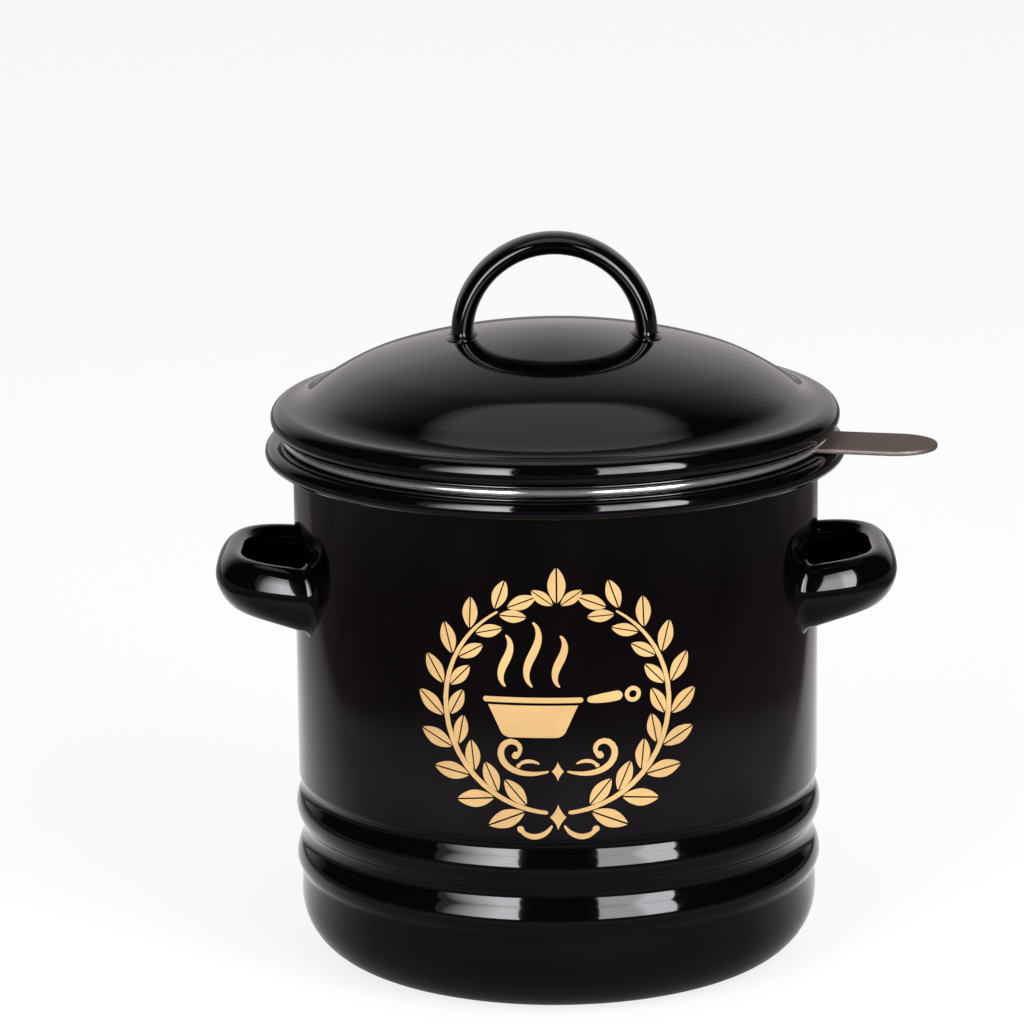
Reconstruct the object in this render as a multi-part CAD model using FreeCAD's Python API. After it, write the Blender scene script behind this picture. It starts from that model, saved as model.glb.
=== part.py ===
import FreeCAD, Part
import math
import os
from FreeCAD import Vector

# A lidded enamel pot for kitchen fat, with a lift-out strainer that hangs in its mouth.
# Units are millimetres.  The origin is the centre of the base's underside.  +Z is up,
# -Y is the front and +X the right.  Everything is spun about Z unless a function says so.
# The pieces are modelled closed: the strainer's lip lies on the pot's rim and the lid on the lip.

# --- driving sizes: the pot shell -------------------------------------------------------
SHEET = 1.0                  # enamelled sheet of the pot and the lid
POT_RADIUS = 63.8            # outside of the straight wall
RIM_HEIGHT = 128.4           # top of the rim above the table
RIM_WIDTH = 6.7              # outside of the rolled rim beyond the straight wall
RIM_ROLL = 2.45              # outer radius of the roll
RIM_FLARE = 3.0              # radius where the inner wall turns out into the rim
RIM_TUCK = 1.6               # straight tail of the roll, turned back under the rim
FOOT_CORNER = 15.0           # outer radius between the base and the wall
FOOT_INSET = 0.3             # how far the foot's wall stands inside the straight wall

# beads pressed into the lower wall, as rises from one turning point to the next
WAIST_RISE = 5.6             # foot corner to the waist under the lower bead
LOWER_BEAD_RISE = 3.8        # waist to the crest of the lower bead
GROOVE_RISE = 6.8            # lower crest to the bottom of the groove
UPPER_BEAD_RISE = 6.3        # groove to the crest of the upper bead
NECK_RISE = 5.7              # upper crest to the neck
WALL_RISE = 2.6              # neck to the straight wall
BEAD_SWELL = 0.7             # crests outside the straight wall
GROOVE_DEPTH = 1.55          # groove inside the straight wall
NECK_DEPTH = 0.9             # neck inside the straight wall
WAIST_DEPTH = 0.5            # waist inside the straight wall

# --- driving sizes: the two side handles ------------------------------------------------
EAR_STANDOFF = 19.3          # outermost point beyond the straight wall
EAR_DROP = 34.0              # rim top to the middle of the band, where it meets the wall
EAR_LEAN = 5.5               # rise of the loop away from the wall, in degrees
EAR_WIDTH = 54.4             # across the loop, seen from above
EAR_CORNER = 19.5            # radius of the loop's two bends, seen from above
EAR_HEIGHT = 14.0            # height of the band
EAR_BULGE = 9.0              # radius of the band's rounded outer face
EAR_EDGE = 2.5               # radius of its rolled top and bottom edges
EAR_SHEET = 1.2

# --- driving sizes: the lid -------------------------------------------------------------
LID_ROLL = 3.4               # outer radius of the lid's rolled edge
LID_TUCK_ANGLE = 35.0        # how far the roll turns past its lowest point, in degrees
DOME_RISE = 21.5             # top of the dome above the middle of the roll
DOME_CROWN_ANGLE = 20.0      # slope where the flat crown meets the shoulder, in degrees
DOME_SHOULDER_ANGLE = 40.0   # steepest slope of the shoulder, in degrees
DOME_COVE = 10.0             # radius of the hollow between the shoulder and the roll
SKIRT_SHEET = 0.9
SKIRT_EDGE = 1.6             # radius of the skirt's turned-in lower edge
LOOP_RADIUS = 25.0           # outer radius of the arched handle
LOOP_WIDTH = 12.0            # its section, front to back
LOOP_THICKNESS = 5.4         # its section, across the arch
LOOP_RISE = 23.1             # top of the arch above the top of the dome

# --- driving sizes: the strainer --------------------------------------------------------
STRAINER_SHEET = 0.5
STRAINER_ROLL = 0.85         # outer radius of the roll at the edge of its lip
STRAINER_TUCK_ANGLE = 40.0   # how far the roll turns past its lowest point, in degrees
LIP_FLARE = 1.6              # radius where the bowl turns out into the lip
BOWL_DEPTH = 24.9            # lip top to the underside of the bowl
BOWL_CORNER = 14.0           # outer radius between the bowl's wall and its floor
FLOOR_LAND = 10.4            # flat floor left round the drain hole
MESH_LAP = 1.4               # how far the mesh lies over the floor around the hole
MESH_THICKNESS = 0.6
RING_BEAD_RISE = 1.6         # height of the ring's bead above its inner flange
RING_FLANGE = 1.0            # width of each flat flange of the ring
RING_SLOPE = 2.3             # width of each side of the bead
STRAP_WIDTH = 20.0           # strainer handle: a flat strap with a round end
STRAP_THICKNESS = 1.2
STRAP_OVERHANG = 23.0        # tip of the strap beyond the rim
STRAP_TURN = -12.0           # direction of the strap seen from above, from +X, in degrees

# --- clearances -------------------------------------------------------------------------
REST_GAP = 0.3               # left between bodies where one lies on another
BOWL_CLEARANCE = 0.6         # bowl to the pot's mouth, all round
SKIRT_CLEARANCE = 0.4        # skirt to the bowl, all round
SKIRT_DIP = 2.0              # skirt's lower edge below the start of the bowl's corner
LID_SEAT_INSET = 0.1         # middle of the lid's roll inside the middle of the strainer's roll
MESH_EDGE_GAP = 0.2          # mesh's edge to the ring's bead

# --- worked out from the above ----------------------------------------------------------
MOUTH_RADIUS = POT_RADIUS - SHEET
FOOT_RADIUS = POT_RADIUS - FOOT_INSET
RIM_RADIUS = POT_RADIUS + RIM_WIDTH
EAR_REACH = POT_RADIUS + EAR_STANDOFF
EAR_LEVEL = RIM_HEIGHT - EAR_DROP

BOWL_RADIUS = MOUTH_RADIUS - BOWL_CLEARANCE
LIP_SEAT_RADIUS = MOUTH_RADIUS + RIM_FLARE      # middle of the strainer's roll, on the rim's flat
LIP_TOP = RIM_HEIGHT + REST_GAP + 2.0 * STRAINER_ROLL
FLOOR_TOP = LIP_TOP - BOWL_DEPTH + STRAINER_SHEET
DRAIN_RADIUS = BOWL_RADIUS - BOWL_CORNER - FLOOR_LAND
STRAP_BOTTOM = RIM_HEIGHT + REST_GAP
STRAP_REACH = RIM_RADIUS + STRAP_OVERHANG

LID_SEAT_RADIUS = LIP_SEAT_RADIUS - LID_SEAT_INSET      # middle of the lid's roll
LID_LEVEL = max(LIP_TOP, STRAP_BOTTOM + STRAP_THICKNESS) + REST_GAP + LID_ROLL
DOME_TOP = LID_LEVEL + DOME_RISE
SKIRT_RADIUS = BOWL_RADIUS - STRAINER_SHEET - SKIRT_CLEARANCE
SKIRT_BOTTOM = FLOOR_TOP + BOWL_CORNER - STRAINER_SHEET - SKIRT_DIP


def point(r, z):
    """A point of a section, in the XZ plane."""
    return Vector(r, 0.0, z)


def line(start, end):
    """A straight stretch of a section."""
    return Part.makeLine(start, end)


def arc(centre, radius, start, end):
    """A round stretch of a section, from one angle to another in degrees, 0 along +X."""
    angles = [math.radians(a) for a in (start, 0.5 * (start + end), end)]
    spots = [centre + radius * point(math.cos(a), math.sin(a)) for a in angles]
    return Part.Arc(*spots).toShape()


def s_curve(start, end, along):
    """Two equal arcs, each flat along Vector along at its own end, joined smoothly between."""
    step = end - start
    run = step.dot(along)
    side = step - run * along
    radius = step.dot(step) / (4.0 * side.Length)
    turn = math.atan2(side.Length, abs(run))
    across = side.normalize()
    middle = 0.5 * (start + end)
    forward = along if run > 0.0 else -along
    bend = radius * (math.sin(turn) * forward + (1.0 - math.cos(turn)) * across)
    return [
        Part.Arc(start, start + bend, middle).toShape(),
        Part.Arc(middle, end - bend, end).toShape(),
    ]


def sheet_face(edges, thickness):
    """The section of a sheet whose visible side is the path; the metal lies to its right."""
    path = Part.Wire(edges)
    return path.makeOffset2D(-thickness, join=0, fill=True, openResult=True)


def spin(face):
    """The solid that a section sweeps about the pot's axis."""
    return face.revolve(Vector(0, 0, 0), Vector(0, 0, 1), 360)


def save(node, shape):
    """Writes one solid as parts/NODE.step."""
    solids = shape.Solids
    if len(solids) != 1 or not solids[0].isValid():
        raise ValueError(f"{node}: {len(solids)} solids, valid {shape.isValid()}")
    solids[0].exportStep(os.path.join("parts", node + ".step"))


def pot_body():
    """Pressed shell: flat base, two beads round the lower wall, and a rim rolled outwards."""
    corner = point(FOOT_RADIUS - FOOT_CORNER, FOOT_CORNER)
    turns = [
        (WAIST_RISE, -WAIST_DEPTH),
        (LOWER_BEAD_RISE, BEAD_SWELL),
        (GROOVE_RISE, -GROOVE_DEPTH),
        (UPPER_BEAD_RISE, BEAD_SWELL),
        (NECK_RISE, -NECK_DEPTH),
        (WALL_RISE, 0.0),
    ]
    edges = [
        line(point(0.0, SHEET), point(corner.x, SHEET)),
        arc(corner, FOOT_CORNER - SHEET, -90.0, 0.0),
    ]
    here = point(FOOT_RADIUS - SHEET, FOOT_CORNER)
    for rise, swell in turns:
        there = point(MOUTH_RADIUS + swell, here.z + rise)
        edges += s_curve(here, there, Vector(0, 0, 1))
        here = there
    flare = point(MOUTH_RADIUS + RIM_FLARE, RIM_HEIGHT - RIM_FLARE)
    roll = point(RIM_RADIUS - RIM_ROLL, RIM_HEIGHT - RIM_ROLL)
    under = roll.z - RIM_ROLL
    edges += [
        line(here, point(MOUTH_RADIUS, flare.z)),
        arc(flare, RIM_FLARE, 180.0, 90.0),
        line(point(flare.x, RIM_HEIGHT), point(roll.x, RIM_HEIGHT)),
        arc(roll, RIM_ROLL, 90.0, -90.0),
        line(point(roll.x, under), point(roll.x - RIM_TUCK, under)),
    ]
    return spin(sheet_face(edges, SHEET))


def ear(side):
    """A pressed half-round channel bent twice to a loop, whose ends meet the wall; side is 1 or -1."""
    half = 0.5 * EAR_HEIGHT - EAR_EDGE
    slack = EAR_BULGE - EAR_EDGE
    inset = EAR_BULGE - math.sqrt(slack ** 2 - half ** 2)
    edge_radius = EAR_CORNER - inset
    bulge = point(EAR_CORNER - EAR_BULGE, 0.0)
    spread = math.degrees(math.asin(half / slack))
    edges = [
        arc(point(edge_radius, half), EAR_EDGE, 180.0, spread),
        arc(bulge, EAR_BULGE, spread, -spread),
        arc(point(edge_radius, -half), EAR_EDGE, -spread, -180.0),
    ]
    across = sheet_face(edges, EAR_SHEET)
    bend = across.revolve(Vector(0, 0, 0), Vector(0, 0, 1), 90)
    front = across.extrude(Vector(0, EAR_CORNER - 0.5 * EAR_WIDTH, 0))
    leg = across.rotated(Vector(0, 0, 0), Vector(0, 0, 1), 90).extrude(Vector(-EAR_CORNER, 0, 0))
    near = bend.fuse([front, leg])
    near.translate(Vector(EAR_REACH - EAR_CORNER, 0.5 * EAR_WIDTH - EAR_CORNER, 0))
    loop = near.fuse(near.mirror(Vector(0, 0, 0), Vector(0, 1, 0))).removeSplitter()
    loop.rotate(Vector(POT_RADIUS, 0, 0), Vector(0, 1, 0), -EAR_LEAN)
    if side < 0:
        loop = loop.mirror(Vector(0, 0, 0), Vector(1, 0, 0))
    loop.translate(Vector(0, 0, EAR_LEVEL))
    wall = Part.makeCylinder(POT_RADIUS, 4.0 * EAR_HEIGHT, point(0, EAR_LEVEL - 2.0 * EAR_HEIGHT))
    pieces = loop.cut(wall).Solids
    return max(pieces, key=lambda piece: side * piece.CenterOfMass.x)


def dome_edges():
    """Top surface of the dome: crown, shoulder and cove arcs, ending level over the roll."""
    crown = math.radians(DOME_CROWN_ANGLE)
    shoulder = math.radians(DOME_SHOULDER_ANGLE)
    run = LID_SEAT_RADIUS - DOME_COVE * math.sin(shoulder)
    fall = DOME_RISE - LID_ROLL - DOME_COVE * (1.0 - math.cos(shoulder))
    # two arcs share the run and the fall: solve for their radii
    sine_step = math.sin(shoulder) - math.sin(crown)
    cosine_step = math.cos(crown) - math.cos(shoulder)
    cosine_crown = 1.0 - math.cos(crown)
    span = math.sin(crown) * cosine_step - sine_step * cosine_crown
    crown_radius = (run * cosine_step - fall * sine_step) / span
    shoulder_radius = (fall * math.sin(crown) - run * cosine_crown) / span
    crown_centre = point(0.0, DOME_TOP - crown_radius)
    shoulder_centre = crown_centre + (crown_radius - shoulder_radius) * point(
        math.sin(crown), math.cos(crown)
    )
    cove = point(LID_SEAT_RADIUS, LID_LEVEL + LID_ROLL + DOME_COVE)
    return [
        arc(crown_centre, crown_radius, 90.0, 90.0 - DOME_CROWN_ANGLE),
        arc(shoulder_centre, shoulder_radius, 90.0 - DOME_CROWN_ANGLE, 90.0 - DOME_SHOULDER_ANGLE),
        arc(cove, DOME_COVE, 270.0 - DOME_SHOULDER_ANGLE, 270.0),
    ]


def lid_dome():
    """Pressed dome with its edge rolled under."""
    roll = point(LID_SEAT_RADIUS, LID_LEVEL)
    edges = dome_edges() + [arc(roll, LID_ROLL, 90.0, -90.0 - LID_TUCK_ANGLE)]
    return spin(sheet_face(edges, SHEET))


def lid_skirt(dome):
    """Ring under the dome that nests in the strainer's bowl, its lower edge turned in."""
    turn = point(SKIRT_RADIUS - SKIRT_EDGE, SKIRT_BOTTOM + SKIRT_EDGE)
    edges = [
        line(point(SKIRT_RADIUS, DOME_TOP), point(SKIRT_RADIUS, turn.z)),
        arc(turn, SKIRT_EDGE, 0.0, -90.0),
    ]
    ring = spin(sheet_face(edges, SKIRT_SHEET))
    return min(ring.cut(dome).Solids, key=lambda piece: piece.CenterOfMass.z)


def lid_handle(dome):
    """Arch of oval section that stands on the dome, its feet shaped to it."""
    centre_line = LOOP_RADIUS - 0.5 * LOOP_THICKNESS
    middle = Vector(0, 0, DOME_TOP + LOOP_RISE - LOOP_RADIUS)
    oval = Part.Ellipse(Vector(0, 0, 0), 0.5 * LOOP_WIDTH, 0.5 * LOOP_THICKNESS).toShape()
    oval.rotate(Vector(0, 0, 0), Vector(0, 0, 1), 90)
    oval.translate(middle + Vector(centre_line, 0, 0))
    arch = Part.Face(Part.Wire([oval])).revolve(middle, Vector(0, 1, 0), 360)
    return max(arch.cut(dome).Solids, key=lambda piece: piece.CenterOfMass.z)


def strainer_bowl():
    """Pressed bowl with a drain hole in its floor and a flat lip rolled at its edge."""
    inner = BOWL_RADIUS - STRAINER_SHEET
    corner_radius = BOWL_CORNER - STRAINER_SHEET
    corner = point(inner - corner_radius, FLOOR_TOP + corner_radius)
    flare = point(inner + LIP_FLARE, LIP_TOP - LIP_FLARE)
    roll = point(LIP_SEAT_RADIUS, LIP_TOP - STRAINER_ROLL)
    edges = [
        line(point(DRAIN_RADIUS, FLOOR_TOP), point(corner.x, FLOOR_TOP)),
        arc(corner, corner_radius, -90.0, 0.0),
        line(point(inner, corner.z), point(inner, flare.z)),
        arc(flare, LIP_FLARE, 180.0, 90.0),
        line(point(flare.x, LIP_TOP), point(roll.x, LIP_TOP)),
        arc(roll, STRAINER_ROLL, 90.0, -90.0 - STRAINER_TUCK_ANGLE),
    ]
    return spin(sheet_face(edges, STRAINER_SHEET))


def strainer_mesh():
    """Disc of woven wire over the drain hole, as a plain disc of the weave's thickness."""
    return Part.makeCylinder(DRAIN_RADIUS + MESH_LAP, MESH_THICKNESS, point(0, FLOOR_TOP))


def strainer_ring():
    """Pressed ring that holds the mesh's edge down on the floor, with a bead round it."""
    mesh_edge = DRAIN_RADIUS + MESH_LAP
    rise = point(mesh_edge + MESH_EDGE_GAP, FLOOR_TOP + MESH_THICKNESS + STRAINER_SHEET)
    start = rise - point(RING_FLANGE, 0.0)
    crest = rise + point(RING_SLOPE, RING_BEAD_RISE)
    land = point(crest.x + RING_SLOPE, FLOOR_TOP + STRAINER_SHEET)
    edges = [line(start, rise)]
    edges += s_curve(rise, crest, Vector(1, 0, 0))
    edges += s_curve(crest, land, Vector(1, 0, 0))
    edges += [line(land, land + point(RING_FLANGE, 0.0))]
    return spin(sheet_face(edges, STRAINER_SHEET))


def strainer_handle():
    """Flat strap with a round end, welded to the outside of the rolled lip."""
    straight = STRAP_REACH - 0.5 * STRAP_WIDTH
    strap = Part.makeBox(straight, STRAP_WIDTH, STRAP_THICKNESS, Vector(0, -0.5 * STRAP_WIDTH, 0))
    strap = strap.fuse(Part.makeCylinder(0.5 * STRAP_WIDTH, STRAP_THICKNESS, Vector(straight, 0, 0)))
    strap = strap.removeSplitter()
    strap.translate(Vector(0, 0, STRAP_BOTTOM))
    below = point(0, STRAP_BOTTOM - STRAP_THICKNESS)
    mouth = Part.makeCylinder(LIP_SEAT_RADIUS, 3.0 * STRAP_THICKNESS, below)
    roll = Part.makeTorus(LIP_SEAT_RADIUS, STRAINER_ROLL, point(0, LIP_TOP - STRAINER_ROLL))
    strap = strap.cut(mouth).cut(roll)
    strap.rotate(Vector(0, 0, 0), Vector(0, 0, 1), STRAP_TURN)
    return strap


def main():
    os.makedirs("parts", exist_ok=True)
    dome = lid_dome()
    save("pot_body", pot_body())
    save("left_handle", ear(-1))
    save("right_handle", ear(1))
    save("lid_dome", dome)
    save("lid_skirt", lid_skirt(dome))
    save("lid_handle", lid_handle(dome))
    save("strainer_bowl", strainer_bowl())
    save("strainer_mesh", strainer_mesh())
    save("strainer_ring", strainer_ring())
    save("strainer_handle", strainer_handle())


main()
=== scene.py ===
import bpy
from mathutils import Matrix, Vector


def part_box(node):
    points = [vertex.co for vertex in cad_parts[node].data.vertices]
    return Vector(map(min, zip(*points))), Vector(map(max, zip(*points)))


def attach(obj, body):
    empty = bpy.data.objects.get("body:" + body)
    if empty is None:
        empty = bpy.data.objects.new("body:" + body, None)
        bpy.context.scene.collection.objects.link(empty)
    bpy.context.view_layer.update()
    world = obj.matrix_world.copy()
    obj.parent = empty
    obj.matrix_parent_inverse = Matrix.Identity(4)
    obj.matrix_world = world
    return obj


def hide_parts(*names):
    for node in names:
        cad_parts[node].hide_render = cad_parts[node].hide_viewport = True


bl_info = {
    "name": "Enamel Fat Pot",
    "version": (1, 0, 0),
    "blender": (4, 5, 0),
    "location": "View3D > Sidebar > Fat Pot",
    "description": "Builds an enamelled kitchen pot with its strainer, lid and gold print on the frame",
    "category": "Object",
}

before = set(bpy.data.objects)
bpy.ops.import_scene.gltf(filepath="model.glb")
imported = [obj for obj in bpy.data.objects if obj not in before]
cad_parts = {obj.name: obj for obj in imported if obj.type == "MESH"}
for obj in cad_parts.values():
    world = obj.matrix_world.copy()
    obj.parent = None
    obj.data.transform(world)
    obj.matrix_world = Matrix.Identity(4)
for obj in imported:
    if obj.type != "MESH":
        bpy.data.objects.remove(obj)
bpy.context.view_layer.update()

import math

import bmesh
import bpy
from bpy.props import FloatProperty, FloatVectorProperty, IntProperty, PointerProperty
from mathutils import Matrix, Vector

# Everything is in metres, in the frame of the part: +Z up, -Y the front, +X the right.

# --- places taken from the frame ---------------------------------------------------------
POT_LOW, POT_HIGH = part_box("pot_body")
EAR_LOW, EAR_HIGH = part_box("right_handle")
DOME_LOW, DOME_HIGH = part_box("lid_dome")
SKIRT_LOW, SKIRT_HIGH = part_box("lid_skirt")
ARCH_LOW, ARCH_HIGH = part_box("lid_handle")
BOWL_LOW, BOWL_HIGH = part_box("strainer_bowl")
MESH_LOW, MESH_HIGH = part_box("strainer_mesh")
RING_LOW, RING_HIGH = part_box("strainer_ring")
STRAP_LOW, STRAP_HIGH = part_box("strainer_handle")

# --- how finely the pieces are built -----------------------------------------------------
ROUND_STEPS = 160            # steps of a full spin
BEND_STEPS = 96              # and of a bent handle
ARC_STEP = math.radians(9)   # largest turn of one facet of a rounded corner
FACET = 0.0016               # and its greatest length
MERGE = 1e-6
SHARP = math.radians(40)     # edges that turn more than this stay crisp
SINK = 0.0004                # how far a welded foot reaches into the sheet it stands on

# --- how the strainer is put together ----------------------------------------------------
DRAIN_LAP = 0.0014           # the mesh lies this far over the floor, round the drain hole
RING_PLAY = 0.0002           # between the mesh's edge and the ring
MESH_TRIM = 0.0003           # the wires end this far inside the mesh's edge
STRAP_LAP = 0.002            # length of the strap that is fitted to the round lip

# --- the pot's pressed wall: rise to each turning point, and how far it stands out there ---
BEADS = (
    (0.0056, "waist"),
    (0.0038, "crest"),
    (0.0068, "groove"),
    (0.0063, "crest"),
    (0.0057, "neck"),
    (0.0026, "wall"),
)


def metres(name, description, default):
    """A size in metres that can be set."""
    return FloatProperty(name=name, description=description, default=default, unit="LENGTH")


def degrees(name, description, default):
    """An angle that can be set, given in degrees."""
    return FloatProperty(name=name, description=description, default=math.radians(default), subtype="ANGLE")


def tint(name, description, default):
    """A colour that can be set."""
    return FloatVectorProperty(name=name, description=description, default=default, size=3, subtype="COLOR")


class PotSizes(bpy.types.PropertyGroup):
    """Sizes of the pot shell."""

    wall_radius: metres("Wall radius", "Outside of the straight wall", 0.0638)
    sheet: metres("Sheet", "Thickness of the enamelled sheet", 0.001)
    foot_corner: metres("Foot corner", "Radius between the base and the wall", 0.015)
    foot_inset: metres("Foot inset", "How far the foot stands inside the wall", 0.0003)
    crest: metres("Crest", "Beads outside the wall", 0.0007)
    groove: metres("Groove", "Groove inside the wall", 0.00135)
    neck: metres("Neck", "Neck over the beads, inside the wall", 0.0009)
    waist: metres("Waist", "Waist under the beads, inside the wall", 0.0005)
    rim_roll: metres("Rim roll", "Radius of the rolled rim", 0.00245)
    rim_flare: metres("Rim flare", "Radius where the wall turns into the rim", 0.003)
    rim_tuck: metres("Rim tuck", "Tail of the roll, turned back below", 0.0016)


class HandleSizes(bpy.types.PropertyGroup):
    """Sizes of the side loops and of the lid's arch."""

    loop_width: metres("Loop width", "Across a side loop, from above", 0.0544)
    loop_length: metres("Loop length", "From the middle of its oval plan to its tip", 0.0312)
    loop_height: metres("Loop height", "Height of the band at its tip", 0.0134)
    loop_flare: metres("Loop flare", "How far the band widens down to the wall", 0.0022)
    loop_lean: degrees("Loop lean", "Rise of the loop away from the wall", 3.2)
    loop_bulge: metres("Loop bulge", "Radius of the band's rounded face", 0.0076)
    loop_edge: metres("Loop edge", "Radius of the band's rolled edges", 0.0025)
    loop_sheet: metres("Loop sheet", "Thickness of the band", 0.0012)
    arch_thickness: metres("Arch thickness", "Section of the lid's arch, across it", 0.0054)
    weld: metres("Weld", "Radius of the enamelled welds", 0.0017)


class LidSizes(bpy.types.PropertyGroup):
    """Sizes of the lid."""

    roll: metres("Roll", "Radius of the lid's rolled edge", 0.0034)
    roll_tuck: degrees("Roll tuck", "How far the roll turns past its lowest point", 35)
    crown: degrees("Crown", "Slope at the edge of the crown", 20)
    shoulder: degrees("Shoulder", "Steepest slope of the dome", 40)
    cove: metres("Cove", "Radius of the hollow at the roll", 0.010)
    skirt_sheet: metres("Skirt sheet", "Thickness of the skirt", 0.0009)
    skirt_edge: metres("Skirt edge", "Radius of its turned-in edge", 0.0016)


class StrainerSizes(bpy.types.PropertyGroup):
    """Sizes of the strainer."""

    wall_radius: metres("Wall radius", "Outside of the bowl's wall", 0.0622)
    sheet: metres("Sheet", "Thickness of the steel sheet", 0.0005)
    roll: metres("Lip roll", "Radius of the rolled lip", 0.00085)
    flare: metres("Lip flare", "Radius where the wall turns into the lip", 0.0016)
    corner: metres("Corner", "Radius between the bowl's wall and its floor", 0.014)
    ring_flange: metres("Ring flange", "Width of the ring's flat flanges", 0.001)
    wire: metres("Wire", "Thickness of the mesh wire", 0.00029)
    pitch: metres("Pitch", "From one wire of the mesh to the next", 0.00085)
    strap_width: metres("Strap width", "Width of the handle", 0.020)
    strap_turn: degrees("Strap turn", "Direction of the handle, from +X", -12)


class PrintSizes(bpy.types.PropertyGroup):
    """Sizes of the gold ornament on the front."""

    width: metres("Width", "Width round the wall", 0.069)
    height: metres("Height", "Height up the wall", 0.067)
    middle: metres("Middle", "Height of its middle", 0.078)
    film: metres("Film", "How far the gold stands proud", 0.00008)
    leaves: IntProperty(name="Leaves", description="Pairs of leaves on each side", default=9, min=3)


class PotFinish(bpy.types.PropertyGroup):
    """Colours and gloss."""

    enamel: tint("Enamel", "Colour of the enamel", (0.0006, 0.00045, 0.00055))
    enamel_roughness: FloatProperty(
        name="Enamel roughness", description="Roughness of the enamel", default=0.06, subtype="FACTOR"
    )
    gold: tint("Gold", "Colour of the print", (0.56, 0.36, 0.145))
    steel: tint("Steel", "Colour of the polished steel", (0.70, 0.68, 0.65))
    satin: tint("Satin steel", "Colour of the bowl's outside", (0.35, 0.268, 0.193))
    strap: tint("Strap steel", "Colour of the strap", (0.212, 0.177, 0.158))


# --- drawing and spinning sections -------------------------------------------------------
def round_off(bm, geom, offset, segments, affect="EDGES"):
    """Rounds edges, or the corners of an outline."""
    bmesh.ops.bevel(
        bm, geom=geom, offset=offset, offset_type="OFFSET", affect=affect, segments=segments,
        profile=0.5, material=-1, clamp_overlap=False,
    )


def outline(bm, start, heading, moves, closed=False):
    """Draws a section in the XZ plane and rounds its corners.

    A move is a length to go straight on, or a (radius, angle) to turn by, positive to the left.
    A radius of 0 leaves a sharp corner.
    """
    here = Vector((start[0], 0.0, start[1]))
    points = [] if closed else [here.copy()]
    rounds = []
    for move in moves:
        if not isinstance(move, tuple):
            here = here + move * heading_vector(heading)
            continue
        radius, angle = move
        if radius == 0:
            points.append(here.copy())
            heading += angle
            continue
        parts = math.ceil(abs(angle) / math.radians(91))
        reach = radius * math.tan(0.5 * abs(angle) / parts)
        part = abs(angle) / parts
        steps = max(2, math.ceil(part / ARC_STEP), math.ceil(radius * part / FACET))
        for _ in range(parts):
            here = here + reach * heading_vector(heading)
            rounds.append((len(points), reach, steps))
            points.append(here.copy())
            heading += angle / parts
            here = here + reach * heading_vector(heading)
    if not closed:
        points.append(here)
    verts = [bm.verts.new(point) for point in points]
    for one, other in zip(verts, verts[1:] + verts[:1] if closed else verts[1:]):
        bm.edges.new((one, other))
    for index, reach, steps in rounds:
        round_off(bm, [verts[index]], reach, steps, affect="VERTICES")
    bmesh.ops.remove_doubles(bm, verts=bm.verts, dist=MERGE)


def sheet_outline(bm, start, heading, moves, sheet, from_axis=False):
    """Outline of a bent sheet: its visible side follows the moves and the metal lies to their right."""
    cap = (0.5 * sheet, -math.pi)
    back = []
    for move in reversed(moves):
        if isinstance(move, tuple):
            radius, angle = move
            move = (radius + math.copysign(sheet, angle), -angle)
        back.append(move)
    path = [*moves, cap, *back] if from_axis else [*moves, cap, *back, cap]
    outline(bm, start, heading, path, closed=not from_axis)


def s_bend(rise, shift):
    """Two equal turns that carry an outline sideways by shift, positive to the left, over a rise."""
    half = math.atan2(abs(shift), rise)
    radius = (rise * rise + shift * shift) / (4.0 * abs(shift))
    angle = math.copysign(2.0 * half, shift)
    return [(radius, angle), (radius, -angle)]


def lathe(bm):
    """Spins the outline once round the upright axis and closes it."""
    sweep(bm, math.tau, ROUND_STEPS, (0, 0, 1), join=True)
    close(bm)


def close(bm):
    """Merges what coincides and turns every face outwards."""
    bmesh.ops.remove_doubles(bm, verts=bm.verts, dist=MERGE)
    bmesh.ops.dissolve_degenerate(bm, edges=bm.edges, dist=MERGE)
    bmesh.ops.recalc_face_normals(bm, faces=bm.faces)


def everything(bm):
    """All the geometry of the mesh."""
    return bm.verts[:] + bm.edges[:] + bm.faces[:]


def turn_verts(bm, verts, angle, axis):
    """Turns the vertices round an axis through the origin."""
    bmesh.ops.rotate(bm, verts=verts, cent=(0, 0, 0), matrix=Matrix.Rotation(angle, 3, axis))


def sweep(bm, angle, steps, axis, join=False):
    """Spins the section about the origin, and joins both ends if it comes round to its start."""
    bmesh.ops.spin(
        bm, geom=bm.verts[:] + bm.edges[:], cent=(0, 0, 0), axis=axis, dvec=(0, 0, 0),
        angle=angle, steps=steps, use_merge=join, use_duplicate=False,
    )


def cap_ends(bm):
    """Closes the open ends of a swept section."""
    bmesh.ops.holes_fill(bm, edges=[edge for edge in bm.edges if edge.is_boundary], sides=0)
    close(bm)


def even_out(share):
    """Spreads the steps of a bend, from -1 to 1, closer together towards its ends."""
    return 1.35 * share - 0.35 * share ** 3


def heading_vector(heading):
    """The direction of a heading in the XZ plane."""
    return Vector((math.cos(heading), 0.0, math.sin(heading)))


def verts_of(made):
    """The vertices among what an operator made."""
    return [item for item in made["geom"] if isinstance(item, bmesh.types.BMVert)]


def weld(bm, gap, away, outer, radius):
    """Spreads the outer skin into a hollow fillet where it comes within radius of a surface.

    gap gives the distance of a point from that surface, away its direction off the surface, and
    outer says whether a vertex is on the outer skin.
    """
    bm.normal_update()
    moved = []
    for vert in bm.verts:
        near = max(gap(vert.co), 0.0)
        if near < radius and outer(vert):
            off = away(vert.co)
            side = vert.normal - vert.normal.dot(off) * off
            if side.length > 0.05:
                spread = radius - math.sqrt(radius ** 2 - (radius - near) ** 2)
                moved.append((vert, vert.co + spread * side.normalized()))
    for vert, co in moved:
        vert.co = co


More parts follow.
